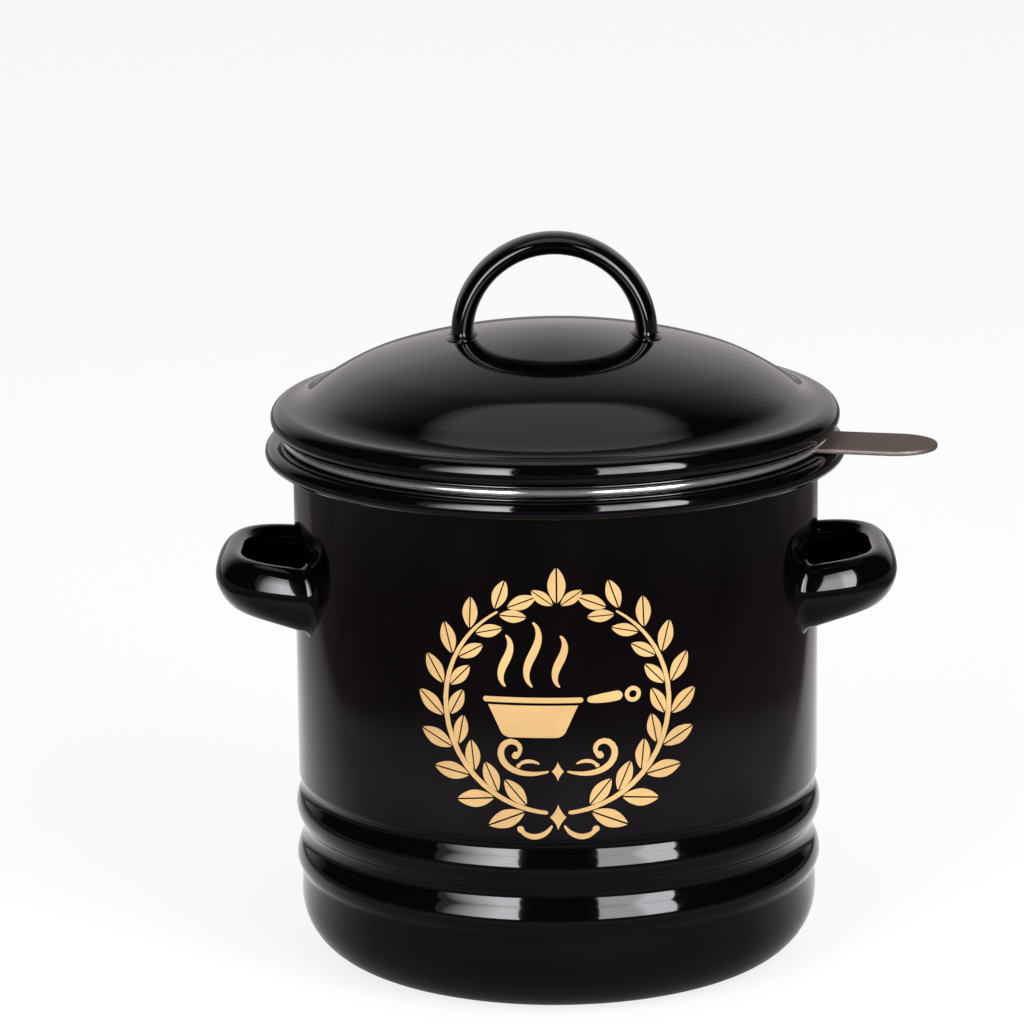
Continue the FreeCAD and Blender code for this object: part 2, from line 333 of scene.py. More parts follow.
def add_piece(name, bm, materials, body, slot, *nodes):
    """Makes the piece, lets it ride on its body and stand for its nodes of the frame."""
    mesh = bpy.data.meshes.new(name)
    bm.to_mesh(mesh)
    bm.free()
    mesh.shade_smooth()
    mesh.set_sharp_from_angle(angle=SHARP)
    for material in materials:
        mesh.materials.append(material)
    piece = bpy.data.objects.new(name, mesh)
    bpy.context.scene.collection.objects.link(piece)
    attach(piece, body)
    if nodes:
        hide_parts(*nodes)
    return piece


# --- materials ---------------------------------------------------------------------------
def new_material(name):
    """A material with its node tree and its principled shader, or without them if it is made already.

    The name differs from every slot of the frame, whose plain material it would find instead.
    """
    material = bpy.data.materials.get(name)
    if material is not None:
        return material, None, None
    material = bpy.data.materials.new(name)
    material.use_nodes = True
    tree = material.node_tree
    shader = tree.nodes["Principled BSDF"]
    return material, tree, shader


def fill(tree, node, inputs):
    """Sets the node's inputs to numbers and colours, or links them to sockets."""
    for name, value in inputs.items():
        if isinstance(value, bpy.types.NodeSocket):
            tree.links.new(value, node.inputs[name])
        else:
            node.inputs[name].default_value = value


def add_node(tree, kind, inputs, **settings):
    """Adds a shader node of that kind, with its settings and its inputs."""
    node = tree.nodes.new("ShaderNode" + kind)
    for name, value in settings.items():
        setattr(node, name, value)
    fill(tree, node, inputs)
    return node


def maths(tree, operation, *values):
    """A maths node on sockets or numbers."""
    return add_node(tree, "Math", dict(enumerate(values)), operation=operation).outputs["Value"]


def length_of(tree, vector):
    """The length of a vector."""
    return add_node(tree, "VectorMath", {0: vector}, operation="LENGTH").outputs["Value"]


def scaled(tree, vector, factor):
    """A vector or colour times a factor."""
    return add_node(tree, "VectorMath", {0: vector, "Scale": factor}, operation="SCALE").outputs["Vector"]


def noise(tree, coordinates, scale, detail=2.0, roughness=0.5):
    """A noise texture on those coordinates."""
    inputs = {"Vector": coordinates, "Scale": scale, "Detail": detail, "Roughness": roughness}
    return add_node(tree, "TexNoise", inputs).outputs["Fac"]


def spread(tree, value, low, high, start=0.3, end=0.7):
    """Maps a value, between start and end, to low and high."""
    inputs = {"Value": value, "From Min": start, "From Max": end, "To Min": low, "To Max": high}
    return add_node(tree, "MapRange", inputs).outputs["Result"]


def bump(tree, height, distance, below=None):
    """Adds a bump of that height over another one."""
    inputs = {"Strength": 1.0, "Distance": distance, "Height": height}
    if below is not None:
        inputs["Normal"] = below
    return add_node(tree, "Bump", inputs).outputs["Normal"]


def blend_colours(tree, share, low, high):
    """A colour that goes from low to high as the share goes from 0 to 1."""
    low, high = (end if isinstance(end, bpy.types.NodeSocket) else (*end, 1.0) for end in (low, high))
    return add_node(tree, "Mix", {"Factor": share, "A": low, "B": high}, data_type="RGBA").outputs["Result"]


def object_place(tree):
    """The object coordinates."""
    return tree.nodes.new("ShaderNodeTexCoord").outputs["Object"]


def split_place(tree, place):
    """The three coordinates of a place."""
    node = add_node(tree, "SeparateXYZ", {"Vector": place})
    return node.outputs["X"], node.outputs["Y"], node.outputs["Z"]


def round_place(tree, scale):
    """Coordinates that run with a spun piece, scaled: its radius and its height, for rings of brushing."""
    place = object_place(tree)
    flat = add_node(tree, "VectorMath", {0: place, 1: (1.0, 1.0, 0.0)}, operation="MULTIPLY")
    run = {"X": length_of(tree, flat.outputs["Vector"]), "Y": split_place(tree, place)[2]}
    return scaled(tree, add_node(tree, "CombineXYZ", run).outputs["Vector"], scale)


def enamel_material(finish):
    """Black vitreous enamel: a glassy coat that flowed a little before it set, with faint dust."""
    material, tree, shader = new_material("black_enamel")
    if tree is None:
        return material
    place = object_place(tree)
    deep = Vector(finish.enamel)
    dust = noise(tree, place, 420.0, 6.0, 0.65)
    flow = bump(tree, noise(tree, place, 34.0, 1.0), 0.00012)
    rough = finish.enamel_roughness
    fill(tree, shader, {
        "IOR": 1.5,
        "Base Color": blend_colours(tree, noise(tree, place, 60.0, 4.0), deep * 0.7, deep * 1.5),
        "Roughness": spread(tree, dust, 0.7 * rough, 1.5 * rough, 0.35, 0.75),
        "Normal": bump(tree, noise(tree, place, 520.0, 1.0), 0.0000012, flow),
    })
    return material


def gold_material(finish):
    """Fired gold: a satin film, a little mottled."""
    material, tree, shader = new_material("gold_film")
    if tree is None:
        return material
    place = object_place(tree)
    gold = Vector(finish.gold)
    mottle = spread(tree, noise(tree, place, 45.0, 3.0), 0.0, 1.0)
    fill(tree, shader, {
        "Base Color": blend_colours(tree, mottle, gold * 0.88, gold * 1.12),
        "Metallic": 0.45,
        "Roughness": spread(tree, noise(tree, place, 900.0, 4.0), 0.36, 0.52),
        "Normal": bump(tree, noise(tree, place, 1500.0, 3.0), 0.000006),
    })
    return material


def steel_material(name, colour, metallic, low, high, rings, depth):
    """Stainless steel with the fine rings that turning and polishing leave."""
    material, tree, shader = new_material(name)
    if tree is None:
        return material
    brushing = noise(tree, round_place(tree, rings), 1.0, 5.0, 0.6)
    clouds = noise(tree, object_place(tree), 70.0, 3.0)
    steel = Vector(colour)
    fill(tree, shader, {
        "Base Color": blend_colours(tree, clouds, steel * 0.9, steel * 1.08),
        "Metallic": metallic,
        "Roughness": spread(tree, brushing, low, high),
        "Normal": bump(tree, brushing, depth),
    })
    return material


def polished_material(finish):
    """The polished inside of the strainer."""
    return steel_material("polished_steel", finish.steel, 0.9, 0.08, 0.17, 1800.0, 0.000002)


def satin_material(finish):
    """The brushed outside of the strainer's bowl, a little browned under a thin clear film."""
    material = steel_material("satin_steel", finish.satin, 0.9, 0.38, 0.48, 2600.0, 0.000001)
    tree = material.node_tree
    around = add_node(tree, "Tangent", {}, direction_type="RADIAL", axis="Z")
    fill(tree, tree.nodes["Principled BSDF"], {
        "Anisotropic": 0.58,
        "Anisotropic Rotation": 0.25,
        "Tangent": around.outputs["Tangent"],
        "Coat Weight": 1.0,
        "Coat Roughness": 0.28,
    })
    return material


def wire_material(finish):
    """Drawn wire of the mesh."""
    material, tree, shader = new_material("drawn_wire")
    if tree is None:
        return material
    steel = Vector(finish.steel)
    grain = noise(tree, object_place(tree), 3000.0, 2.0)
    fill(tree, shader, {
        "Base Color": blend_colours(tree, grain, steel * 1.2, steel * 1.4),
        "Metallic": 0.15,
        "Roughness": spread(tree, grain, 0.30, 0.45),
    })
    return material


def strap_material(finish):
    """The strap: rolled steel with lengthwise brushing and small scratches."""
    material, tree, shader = new_material("brushed_strap")
    if tree is None:
        return material
    turned = add_node(tree, "Mapping", {
        "Vector": object_place(tree),
        "Rotation": (0.0, 0.0, math.radians(12)),
        "Scale": (60.0, 2600.0, 2600.0),
    })
    brushing = noise(tree, turned.outputs["Vector"], 1.0, 5.0, 0.65)
    steel = Vector(finish.strap)
    fill(tree, shader, {
        "Base Color": blend_colours(tree, brushing, steel * 0.82, steel * 1.18),
        "Metallic": 0.9,
        "Specular Tint": (0.32, 0.29, 0.27, 1.0),
        "Roughness": spread(tree, brushing, 0.44, 0.6),
        "Normal": bump(tree, brushing, 0.00001),
    })
    return material


# --- the pieces --------------------------------------------------------------------------
class FATPOT_OT_pot_shell(bpy.types.Operator):
    """Spin the pressed shell of the pot with its beads, foot and rolled rim"""

    bl_idname = "fatpot.pot_shell"
    bl_label = "Pot shell"

    def execute(self, context):
        size = context.scene.fatpot_pot
        inner = size.wall_radius - size.sheet
        stands_out = {
            "waist": -size.waist,
            "crest": size.crest,
            "groove": -size.groove,
            "neck": -size.neck,
            "wall": 0.0,
        }
        foot_radius = size.wall_radius - size.foot_inset - size.foot_corner
        moves = [foot_radius, (size.foot_corner - size.sheet, math.radians(90))]
        here = -size.foot_inset
        height = size.foot_corner
        for rise, kind in BEADS:
            moves += s_bend(rise, here - stands_out[kind])
            here = stands_out[kind]
            height += rise
        moves += [
            POT_HIGH.z - size.rim_flare - height,
            (size.rim_flare, math.radians(-90)),
            POT_HIGH.x - size.rim_roll - inner - size.rim_flare,
            (size.rim_roll, math.radians(-180)),
            size.rim_tuck,
        ]
        bm = bmesh.new()
        sheet_outline(bm, (0.0, size.sheet), 0.0, moves, size.sheet, from_axis=True)
        lathe(bm)
        enamel = enamel_material(context.scene.fatpot_finish)
        add_piece("pot_shell", bm, [enamel], "pot", "enamel", "pot_body")
        return {"FINISHED"}


class FATPOT_OT_side_loops(bpy.types.Operator):
    """Bend the two side handles from a rounded channel and weld them to the wall"""

    bl_idname = "fatpot.side_loops"
    bl_label = "Side loops"

    def execute(self, context):
        enamel = enamel_material(context.scene.fatpot_finish)
        for side, name, node in ((1, "right_loop", "right_handle"), (-1, "left_loop", "left_handle")):
            bm = self.loop(context.scene.fatpot_handles, context.scene.fatpot_pot.wall_radius)
            if side < 0:
                turn_verts(bm, bm.verts, math.pi, "Z")
            add_piece(name, bm, [enamel], "pot", "enamel", node)
        return {"FINISHED"}

    def loop(self, size, wall):
        half = 0.5 * size.loop_height - size.loop_edge
        slack = size.loop_bulge - size.loop_edge
        open_angle = math.asin(half / slack)
        inset = size.loop_bulge - slack * math.cos(open_angle)
        edge_turn = (size.loop_edge, open_angle - math.pi)
        moves = [edge_turn, (size.loop_bulge, -2.0 * open_angle), edge_turn]
        bm = bmesh.new()
        start = (size.loop_length - inset - size.loop_edge, half)
        sheet_outline(bm, start, math.radians(90), moves, size.loop_sheet)
        reach = math.radians(85)
        turn_verts(bm, bm.verts, -reach, "Z")
        sweep(bm, 2.0 * reach, BEND_STEPS, (0, 0, 1))
        centre = EAR_HIGH.x - size.loop_length
        for vert in bm.verts:
            depth = size.loop_length - vert.co.xy.length
            share = math.atan2(vert.co.y, vert.co.x) / reach
            meets = self.meeting(size, depth, centre, wall - SINK)
            flat = self.plan(size, meets * even_out(share), depth)
            vert.co = Vector((centre + flat.x, flat.y, self.level(size, centre + flat.x, wall, vert.co.z)))
        cap_ends(bm)

        def outer(vert):
            turn = math.atan2(vert.co.y, vert.co.x - centre)
            flat = self.plan(size, turn, inset + 0.5 * size.loop_edge)
            core = Vector((centre + flat.x, flat.y, self.level(size, centre + flat.x, wall, 0.0)))
            return vert.normal.dot(vert.co - core) > 0.0

        weld(
            bm,
            lambda co: co.xy.length - wall,
            lambda co: Vector((co.x, co.y, 0.0)).normalized(),
            outer,
            size.weld,
        )
        return bm

    def plan(self, size, turn, depth):
        """A point of the loop seen from above: an oval with square shoulders, and in from it by a depth."""
        long = size.loop_length
        wide = 0.5 * size.loop_width
        along = math.cos(turn)
        across = math.sin(turn)
        far = (abs(along / long) ** 3 + abs(across / wide) ** 3) ** (-1.0 / 3.0)
        normal = Vector((along * abs(along) / long ** 3, across * abs(across) / wide ** 3)).normalized()
        return far * Vector((along, across)) - depth * normal

    def meeting(self, size, depth, centre, wall):
        """The turn at which the loop, at that depth, reaches the wall."""
        low, high = math.radians(30), math.radians(90)
        for _ in range(30):
            turn = 0.5 * (low + high)
            flat = self.plan(size, turn, depth)
            if math.hypot(centre + flat.x, flat.y) > wall:
                low = turn
            else:
                high = turn
        return turn

    def level(self, size, x, wall, z):
        """Height of a point of the band that lies z above its middle, with the lean and the flare."""
        tip = EAR_HIGH.z - 0.5 * size.loop_height
        root = min(max((EAR_HIGH.x - x) / (EAR_HIGH.x - wall), 0.0), 1.1)
        share = z / (0.5 * size.loop_height)
        flare = size.loop_flare * root ** 2 * (share if share < 0.0 else -0.25 * share)
        return tip + z + flare - (EAR_HIGH.x - x) * math.tan(size.loop_lean)


class FATPOT_OT_gold_print(bpy.types.Operator):
    """Lay the gold ornament on the front of the wall"""

    bl_idname = "fatpot.gold_print"
    bl_label = "Gold print"

    def execute(self, context):
        size = context.scene.fatpot_print
        bm = bmesh.new()
        self.branch(bm, size)
        self.tie(bm)
        bmesh.ops.mirror(bm, geom=everything(bm), axis="X", merge_dist=MERGE)
        self.sprig(bm)
        self.lozenge(bm, 0.0, -0.0272, 0.0031)
        self.lozenge(bm, 0.0, -0.0160, 0.0023)
        self.skillet(bm)
        for index, length in ((-1, 0.0135), (0, 0.0170), (1, 0.0135)):
            bend = 4.0 * STEAM_SWAY / length
            heading = math.radians(90) + 0.667 * STEAM_SWAY
            foot = (SKILLET_MIDDLE + index * STEAM_GAP, STEAM_FOOT)
            ribbon(bm, foot, heading, length, (-bend, bend), (0.0003, 0.0019, 0.0003))
        fit = (size.width / PRINT_SPAN, 1.0, size.height / PRINT_SPAN)
        bmesh.ops.scale(bm, verts=bm.verts, vec=fit)
        for cut in range(-16, 17):
            bmesh.ops.bisect_plane(
                bm, geom=everything(bm), plane_co=(CUT_STEP * cut, 0, 0),
                plane_no=(1, 0, 0), dist=MERGE,
            )
        wrap(bm, context.scene.fatpot_pot.wall_radius, size)
        gold = gold_material(context.scene.fatpot_finish)
        add_piece("gold_ornament", bm, [gold], "pot", "gold_print")
        return {"FINISHED"}

    def branch(self, bm, size):
        """The right half of the wreath: a stem with pairs of leaves."""
        start = math.radians(5)
        ribbon(
            bm, (WREATH * math.sin(start), -WREATH * math.cos(start)), start, math.radians(144) * WREATH,
            (1.0 / WREATH, 1.0 / WREATH), (0.0009, 0.0012, 0.0005),
        )
        leaf = self.leaf(bm)
        for index in range(size.leaves):
            share = index / (size.leaves - 1)
            angle = math.radians(-76 + 132 * share)
            foot = WREATH * heading_vector(angle)
            for side, scale in ((-1.0, 1.0), (1.0, 0.86)):
                heading = angle + math.radians(90) + side * LEAF_ANGLE
                self.place(bm, leaf, foot, heading, 0.0016, scale * (1.03 - 0.2 * share))
        tip = math.radians(62)
        foot = WREATH * heading_vector(tip)
        self.place(bm, leaf, foot, tip + math.radians(96), 0.0012, 0.8)
        bmesh.ops.delete(bm, geom=leaf, context="VERTS")

    def leaf(self, bm):
        """One leaf along +X, split by its rib, as vertices, edges and faces."""
        arc = math.radians(48)
        radius = 0.5 * LEAF_LENGTH / math.sin(arc)
        corner = (0, math.pi - arc)
        verts = patch(bm, (0.0, 0.0002), 0.0, [LEAF_LENGTH, corner, (radius, 2.0 * arc), corner])
        other = bmesh.ops.duplicate(bm, geom=whole(verts))
        bmesh.ops.scale(bm, verts=verts_of(other), vec=(1, 1, -1))
        return whole(verts + verts_of(other))

    def place(self, bm, leaf, foot, heading, gap, scale):
        """Sets a copy of the leaf down, a gap beyond its foot."""
        made = verts_of(bmesh.ops.duplicate(bm, geom=leaf))
        bmesh.ops.scale(bm, verts=made, vec=(scale, 1.0, scale))
        turn_verts(bm, made, -heading, "Y")
        bmesh.ops.translate(bm, verts=made, vec=foot + gap * heading_vector(heading))

    def tie(self, bm):
        """The right halves of the tie at the foot of the wreath and of the scroll under the skillet."""
        for start, heading, length, bends, widths, drop, curl in (
            ((0.0014, -0.0292), -64, 0.0098, (170.0, 330.0), (0.0004, 0.0013, 0.0005), 0.0008, 1),
            ((0.0021, -0.0160), -16, 0.0236, (60.0, 760.0), (0.0004, 0.0015, 0.0006), 0.0009, 2),
            ((0.0042, -0.0142), 30, 0.0058, (-160.0, -420.0), (0.0003, 0.0009, 0.0003), 0.0005, 1),
        ):
            ribbon(bm, start, math.radians(heading), length, bends, widths, drop, curl)

    def sprig(self, bm):
        """Three leaves at the top, between the two branches."""
        leaf = self.leaf(bm)
        foot = Vector((0.0, 0.0, 0.0236))
        for heading, scale in ((90, 0.98), (36, 0.68), (144, 0.68)):
            self.place(bm, leaf, foot, math.radians(heading), 0.0012, scale)
        bmesh.ops.delete(bm, geom=leaf, context="VERTS")

    def lozenge(self, bm, x, z, half):
        """An upright lozenge with drawn-in sides."""
        hollow = math.radians(34)
        side = 0.6 * half
        slant = math.atan2(half, side)
        radius = 0.5 * math.hypot(half, side) / math.sin(0.5 * hollow)
        blunt = (0, 2.0 * slant - math.pi - hollow)
        sharp = (0, -2.0 * slant - hollow)
        arc = (radius, hollow)
        patch(bm, (x, z + half), -slant - 0.5 * hollow, [arc, blunt, arc, sharp, arc, blunt, arc, sharp])

    def skillet(self, bm):
        """A plain skillet seen from the side."""
        lean = math.radians(24)
        corner = math.radians(90) - lean
        cut = SKILLET_CORNER * math.tan(0.5 * corner)
        side = SKILLET_DEPTH / math.cos(lean) - cut
        base = SKILLET_WIDTH - 2.0 * SKILLET_DEPTH * math.tan(lean) - 2.0 * cut
        left = SKILLET_MIDDLE - 0.5 * SKILLET_WIDTH
        top = (0, -math.pi + corner)
        bend = (SKILLET_CORNER, -corner)
        patch(bm, (left, 0.0), 0.0, [SKILLET_WIDTH, top, side, bend, base, bend, side, top])
        ribbon(bm, (left - 0.0012, 0.0013), 0.0, SKILLET_WIDTH + 0.0024, (0.0, 0.0), (0.0013, 0.0013, 0.0013))
        grip = left + SKILLET_WIDTH + 0.0021
        ribbon(bm, (grip, 0.0013), math.radians(3), 0.0082, (14.0, 14.0), (0.0013, 0.0023, 0.0022))
        ring = 0.0014
        ribbon(
            bm, (grip + 0.0092, 0.0021), math.radians(-90), math.tau * ring, (1.0 / ring, 1.0 / ring),
            (0.0010, 0.0010, 0.0010), closed=True,
        )


# --- the gold ornament: sizes of its parts in the flat ------------------------------------
PRINT_SPAN = 0.067           # width and height that it is drawn at
WREATH = 0.0262              # radius of the stems
LEAF_LENGTH = 0.0086
LEAF_ANGLE = math.radians(37)
CUT_STEP = 0.0022            # from one cut to the next, where the film bends round the wall
STEAM_SWAY = math.radians(78)
STEAM_GAP = 0.0062           # from one curl of steam to the next
STEAM_FOOT = 0.0045          # height of their feet
SKILLET_MIDDLE = -0.0056     # of its pan, to the left of the wreath's middle
SKILLET_WIDTH = 0.0206
SKILLET_DEPTH = 0.0078
SKILLET_CORNER = 0.0024


def whole(verts):
    """The vertices with all their edges and faces."""
    edges = {edge for vert in verts for edge in vert.link_edges}
    faces = {face for vert in verts for face in vert.link_faces}
    return [*verts, *edges, *faces]


def patch(bm, start, heading, moves):
    """Fills a closed outline and gives its vertices."""
    before = set(bm.verts)
    outline(bm, start, heading, moves, closed=True)
    verts = [vert for vert in bm.verts if vert not in before]
    bmesh.ops.contextual_create(bm, geom=list({edge for vert in verts for edge in vert.link_edges}))
    return verts


def ribbon(bm, start, heading, length, bends, widths, drop=0.0, curl=1, closed=False, steps=30):
    """Draws a flat band with round ends.

    bends are its turns per metre at both ends, positive to the left, and curl is the power by which
    it goes from one to the other; widths are those at its start, middle and end; drop is the
    radius of a round head at its end.
    """
    here = Vector((start[0], 0.0, start[1]))
    ahead = heading_vector(heading)
    gone = 0.0
    edge = None
    for step in range(steps + 1):
        share = step / steps if closed else 0.5 - 0.5 * math.cos(math.pi * step / steps)
        reach = share * length - gone
        bend = bends[0] + (bends[1] - bends[0]) * ((gone + 0.5 * reach) / length) ** curl
        half_turn = Matrix.Rotation(-0.5 * bend * reach, 3, "Y")
        across = Vector((-ahead.z, 0.0, ahead.x))
        last = here
        ahead = half_turn @ ahead
        here = here + reach * ahead
        ahead = half_turn @ ahead
        gone += reach
        half = half_width(gone, length, widths, drop, closed)
        if edge is None:
            edge = bm.edges.new([bm.verts.new(here + side * half * across) for side in (-1, 1)])
            continue
        grown = bmesh.ops.extrude_edge_only(bm, edges=[edge])["geom"]
        edge = next(item for item in grown if isinstance(item, bmesh.types.BMEdge))
        sides = [math.copysign(half, (vert.co - last).dot(across)) for vert in edge.verts]
        across = Vector((-ahead.z, 0.0, ahead.x))
        for vert, side in zip(edge.verts, sides):
            vert.co = here + side * across
    if closed:
        bmesh.ops.remove_doubles(bm, verts=bm.verts, dist=10 * MERGE)


def half_width(gone, length, widths, drop, closed):
    """Half the width of a band at a place along it."""
    first, middle, final = widths
    share = gone / length
    swell = middle - 0.5 * (first + final)
    width = first + (final - first) * share + swell * math.sin(math.pi * share) ** 0.8
    if closed:
        return 0.5 * width
    left = length - gone
    half = round_head(0.5 * width, min(gone, left, 0.5 * width))
    return max(half, round_head(drop, left), 0.00002)


def round_head(radius, gap):
    """Half width of a round head of that radius, at a gap from its tip."""
    return math.sqrt(max(radius ** 2 - (radius - gap) ** 2, 0.0))


def wrap(bm, wall, size):
    """Gives the flat print its film and bends it round the wall."""
    bmesh.ops.recalc_face_normals(bm, faces=bm.faces)
    flat = bm.faces[:]
    raised = bmesh.ops.extrude_face_region(bm, geom=flat, use_keep_orig=True)
    tops = verts_of(raised)
    under = set(bm.verts) - set(tops)
    for vert in bm.verts:
        depth = -0.5 * size.film if vert in under else size.film
        angle = vert.co.x / wall
        radius = wall + depth
        vert.co = Vector((radius * math.sin(angle), -radius * math.cos(angle), size.middle + vert.co.z))
    bmesh.ops.recalc_face_normals(bm, faces=bm.faces)


class FATPOT_OT_lid_shell(bpy.types.Operator):
    """Spin the lid's dome with its rolled edge, and the skirt below it"""

    bl_idname = "fatpot.lid_shell"
    bl_label = "Lid shell"

    def execute(self, context):
        enamel = enamel_material(context.scene.fatpot_finish)
        size = context.scene.fatpot_lid
        sheet = context.scene.fatpot_pot.sheet
        crown_radius, shoulder_radius = dome_radii(size)
        moves = [
            (crown_radius, -size.crown),
            (shoulder_radius, size.crown - size.shoulder),
            (size.cove, size.shoulder),
            (size.roll, -math.pi - size.roll_tuck),
        ]
        bm = bmesh.new()
        sheet_outline(bm, (0.0, DOME_HIGH.z), 0.0, moves, sheet, from_axis=True)
        lathe(bm)
        add_piece("lid_shell", bm, [enamel], "lid", "enamel", "lid_dome")

        top = DOME_LOW.z + 2.0 * size.roll
        moves = [top - SKIRT_LOW.z - size.skirt_edge, (size.skirt_edge, math.radians(-90))]
        bm = bmesh.new()
        sheet_outline(bm, (SKIRT_HIGH.x, top), math.radians(-90), moves, size.skirt_sheet)
        lathe(bm)
        add_piece("lid_skirt_ring", bm, [enamel], "lid", "enamel", "lid_skirt")
        return {"FINISHED"}


def dome_radii(size):
    """Radii of the crown and of the shoulder that together span the dome."""
    run = DOME_HIGH.x - size.roll - size.cove * math.sin(size.shoulder)
    fall = DOME_HIGH.z - DOME_LOW.z - 2.0 * size.roll - size.cove * (1.0 - math.cos(size.shoulder))
    sine_step = math.sin(size.shoulder) - math.sin(size.crown)
    cosine_step = math.cos(size.crown) - math.cos(size.shoulder)
    cosine_crown = 1.0 - math.cos(size.crown)
    span = math.sin(size.crown) * cosine_step - sine_step * cosine_crown
    crown_radius = (run * cosine_step - fall * sine_step) / span
    shoulder_radius = (fall * math.sin(size.crown) - run * cosine_crown) / span
    return crown_radius, shoulder_radius


class FATPOT_OT_lid_arch(bpy.types.Operator):
    """Bend the lid's arched handle and weld its feet to the dome"""

    bl_idname = "fatpot.lid_arch"
    bl_label = "Lid arch"

    def execute(self, context):
        size = context.scene.fatpot_handles
        crown_radius, _ = dome_radii(context.scene.fatpot_lid)
        dome_centre = Vector((0.0, 0.0, DOME_HIGH.z - crown_radius))
        middle = ARCH_HIGH.z - ARCH_HIGH.x
        line = ARCH_HIGH.x - 0.5 * size.arch_thickness
        bm = bmesh.new()
        made = bmesh.ops.create_circle(bm, cap_ends=False, segments=40, radius=1.0)["verts"]
        bmesh.ops.scale(bm, verts=made, vec=(0.5 * size.arch_thickness, ARCH_HIGH.y, 1.0))
        bmesh.ops.translate(bm, verts=made, vec=(line, 0.0, 0.0))
        sweep(bm, math.pi, BEND_STEPS, (0, -1, 0))
        lift = middle - dome_centre.z
        foot_radius = crown_radius - SINK
        for vert in bm.verts:
            rho = math.hypot(vert.co.x, vert.co.z)
            share = math.atan2(vert.co.z, vert.co.x) / (0.5 * math.pi) - 1.0
            sine = (foot_radius ** 2 - rho ** 2 - vert.co.y ** 2 - lift ** 2) / (2.0 * rho * lift)
            reach = 0.5 * math.pi - math.asin(sine)
            angle = 0.5 * math.pi + reach * even_out(share)
            vert.co = Vector((rho * math.cos(angle), vert.co.y, middle + rho * math.sin(angle)))
        cap_ends(bm)
        weld(
            bm,
            lambda co: (co - dome_centre).length - crown_radius,
            lambda co: (co - dome_centre).normalized(),
            lambda vert: True,
            0.7 * size.weld,
        )
        enamel = enamel_material(context.scene.fatpot_finish)
        add_piece("lid_arch", bm, [enamel], "lid", "enamel", "lid_handle")
        return {"FINISHED"}


class FATPOT_OT_strainer_bowl(bpy.types.Operator):
    """Spin the strainer's bowl with its rolled lip, and the ring that holds the mesh"""

    bl_idname = "fatpot.strainer_bowl"
    bl_label = "Strainer bowl"

    def execute(self, context):
        size = context.scene.fatpot_strainer
        finish = context.scene.fatpot_finish
        inner = size.wall_radius - size.sheet
        floor = BOWL_LOW.z + size.sheet
        drain = MESH_HIGH.x - DRAIN_LAP
        turn = size.corner - size.sheet
        moves = [
            inner - turn - drain,
            (turn, math.radians(90)),
            BOWL_HIGH.z - size.flare - floor - turn,
            (size.flare, math.radians(-90)),
            BOWL_HIGH.x - size.roll - inner - size.flare,
            (size.roll, math.radians(-220)),
        ]
        bm = bmesh.new()
        sheet_outline(bm, (drain, floor), 0.0, moves, size.sheet)
        lathe(bm)
        for face in bm.faces:
            middle = face.calc_center_median()
            outside = face.normal.dot(Vector((middle.x, middle.y, 0.0)).normalized()) > 0.05
            below = face.normal.z < -0.05
            in_lip = middle.z > BOWL_HIGH.z - size.flare - size.sheet
            face.material_index = 1 if (outside or below) and not in_lip else 0
        add_piece(
            "strainer_shell", bm, [polished_material(finish), satin_material(finish)], "strainer",
            "strainer_steel", "strainer_bowl",
        )

        flange = RING_LOW.z + size.sheet
        raised = MESH_HIGH.z + size.sheet
        slope = 0.5 * (RING_HIGH.x - MESH_HIGH.x - RING_PLAY - size.ring_flange)
        start = MESH_HIGH.x + RING_PLAY - size.ring_flange
        moves = [
            size.ring_flange,
            *s_bend(slope, RING_HIGH.z - raised),
            *s_bend(slope, flange - RING_HIGH.z),
            size.ring_flange,
        ]
        bm = bmesh.new()
        sheet_outline(bm, (start, raised), 0.0, moves, size.sheet)
        lathe(bm)
        polished = polished_material(finish)
        add_piece("strainer_clamp_ring", bm, [polished], "strainer", "strainer_steel", "strainer_ring")
        return {"FINISHED"}


